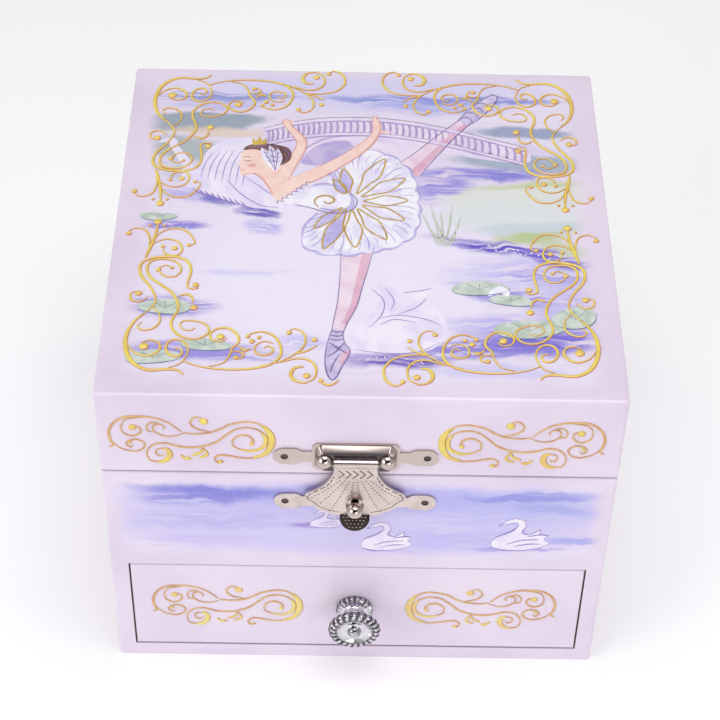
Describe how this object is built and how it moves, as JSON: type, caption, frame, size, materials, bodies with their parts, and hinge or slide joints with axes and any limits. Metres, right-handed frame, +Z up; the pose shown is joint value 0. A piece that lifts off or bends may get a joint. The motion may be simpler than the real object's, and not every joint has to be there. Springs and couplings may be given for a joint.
{
  "type": "musical jewellery box",
  "caption": "Square paper-covered musical jewellery box with hinged lid, shell latch, drawer, winding key and a fold-away turning dancer.",
  "frame": {"origin": "centre of the base's underside", "axes": "+Z up, +Y to the back where the lid hinges and key are, +X to the right seen from the front"},
  "size_m": [0.12, 0.1459, 0.095],
  "materials": {
    "lilac_paper": "gloss",
    "greyboard": "matt",
    "velvet": "pile",
    "satin_lining": "satin",
    "nickel": "polished nickel plate",
    "chrome": "bright",
    "steel": "satin",
    "brass": "satin",
    "white_plastic": "gloss",
    "figure_plastic": "painted",
    "tulle": "net",
    "mirror_glass": "silvered"
  },
  "bodies": {
    "case": {"case_base_panel": "greyboard", "case_side_panels": "greyboard", "case_back_panel": "greyboard", "case_front_panel": "greyboard", "case_cover_paper": "lilac_paper", "compartment_floor": "greyboard", "drawer_bay_back": "greyboard", "platform_boards": "greyboard", "compartment_velvet": "velvet", "wall_lining": "satin_lining", "ring_rolls": "velvet", "hinge_case_leaves": "nickel", "hinge_pins": "nickel", "hinge_case_screws": "nickel", "latch_lower_plate": "nickel", "latch_ball_stud": "nickel", "latch_lower_nails": "nickel", "movement_bedplate": "steel", "movement_screws": "steel", "comb": "steel", "comb_bracket": "steel", "cylinder_bracket": "steel", "governor_frame": "steel", "idler_post": "steel", "spindle_bushes": "brass"},
    "lid": {"lid_top_panel": "greyboard", "lid_front_rail": "greyboard", "lid_back_rail": "greyboard", "lid_side_rails": "greyboard", "lid_cover_paper": "lilac_paper", "lid_lining": "satin_lining", "lid_mirror": "mirror_glass", "hinge_lid_leaves": "nickel", "hinge_lid_screws": "nickel", "latch_upper_plate": "nickel", "latch_hinge_pin": "nickel", "latch_upper_nails": "nickel"},
    "latch_flap": {"latch_flap": "nickel"},
    "drawer": {"drawer_front": "greyboard", "drawer_front_paper": "lilac_paper", "drawer_walls": "greyboard", "drawer_bottom": "greyboard", "drawer_lining": "velvet", "drawer_knob": "chrome", "knob_screw": "steel"},
    "spring_barrel": {"mainspring_barrel": "brass", "mainspring": "steel"},
    "winding_key": {"winding_key": "nickel"},
    "cylinder": {"pinned_cylinder": "brass", "cylinder_arbor_gears": "brass"},
    "governor_wheel": {"governor_wheel": "brass"},
    "governor_fly": {"governor_fly": "steel"},
    "idler": {"idler_gear": "white_plastic"},
    "spindle": {"figure_spindle": "white_plastic", "dancer_pedestal": "white_plastic", "figure_spring": "steel"},
    "dancer": {"dancer_figure": "figure_plastic", "dancer_tutu": "tulle"},
    "stop_plunger": {"stop_plunger": "steel"}
  },
  "joints": [
    {"name": "lid_hinge", "type": "hinge", "parent": "case", "child": "lid", "pos_m": [0, 0.0615, 0.0693], "axis": [-1, 0, 0], "range_deg": [0, 100]},
    {"name": "latch_swing", "type": "hinge", "parent": "lid", "child": "latch_flap", "pos_m": [-0.001, -0.0623, 0.0758], "axis": [-1, 0, 0], "range_deg": [0, 120]},
    {"name": "drawer_slide", "type": "slide", "parent": "case", "child": "drawer", "axis": [0, -1, 0], "range_m": [0, 0.065]},
    {"name": "key_wind", "type": "hinge", "parent": "case", "child": "winding_key", "pos_m": [0, 0.062, 0.026], "axis": [0, 1, 0], "continuous": true},
    {"name": "cylinder_spin", "type": "hinge", "parent": "case", "child": "cylinder", "pos_m": [0, 0.036, 0.027], "axis": [0, 0, 1], "continuous": true},
    {"name": "barrel_spin", "type": "hinge", "parent": "case", "child": "spring_barrel", "pos_m": [0, 0.049, 0.026], "axis": [0, 1, 0], "continuous": true},
    {"name": "governor_wheel_spin", "type": "hinge", "parent": "case", "child": "governor_wheel", "pos_m": [0.0124, 0.036, 0.027], "axis": [0, 0, 1], "continuous": true},
    {"name": "governor_fly_spin", "type": "hinge", "parent": "case", "child": "governor_fly", "pos_m": [0.01795, 0.04, 0.0303], "axis": [0, 1, 0], "continuous": true},
    {"name": "idler_spin", "type": "hinge", "parent": "case", "child": "idler", "pos_m": [0, 0.021, 0.0445], "axis": [0, 0, 1], "continuous": true},
    {"name": "figure_spin", "type": "hinge", "parent": "case", "child": "spindle", "pos_m": [0, 0.006, 0.05], "axis": [0, 0, 1], "continuous": true},
    {"name": "figure_fold", "type": "hinge", "parent": "spindle", "child": "dancer", "pos_m": [0, 0.00471, 0.06571], "axis": [-1, 0, 0], "range_deg": [0, 90], "deforming": ["figure_spring"]},
    {"name": "stop_plunger_rise", "type": "slide", "parent": "case", "child": "stop_plunger", "axis": [0, 0, 1], "range_m": [0, 0.004]}
  ],
  "couplings": [
    {"joint": "barrel_spin", "follows": "cylinder_spin", "ratio": 0.68182},
    {"joint": "governor_wheel_spin", "follows": "cylinder_spin", "ratio": -4.1667},
    {"joint": "governor_fly_spin", "follows": "cylinder_spin", "ratio": -91.667},
    {"joint": "idler_spin", "follows": "cylinder_spin", "ratio": -1},
    {"joint": "figure_spin", "follows": "cylinder_spin", "ratio": 1},
    {"joint": "figure_fold", "follows": "lid_hinge", "ratio": 0.9},
    {"joint": "stop_plunger_rise", "follows": "lid_hinge", "m_per_rad": 0.00229}
  ]
}
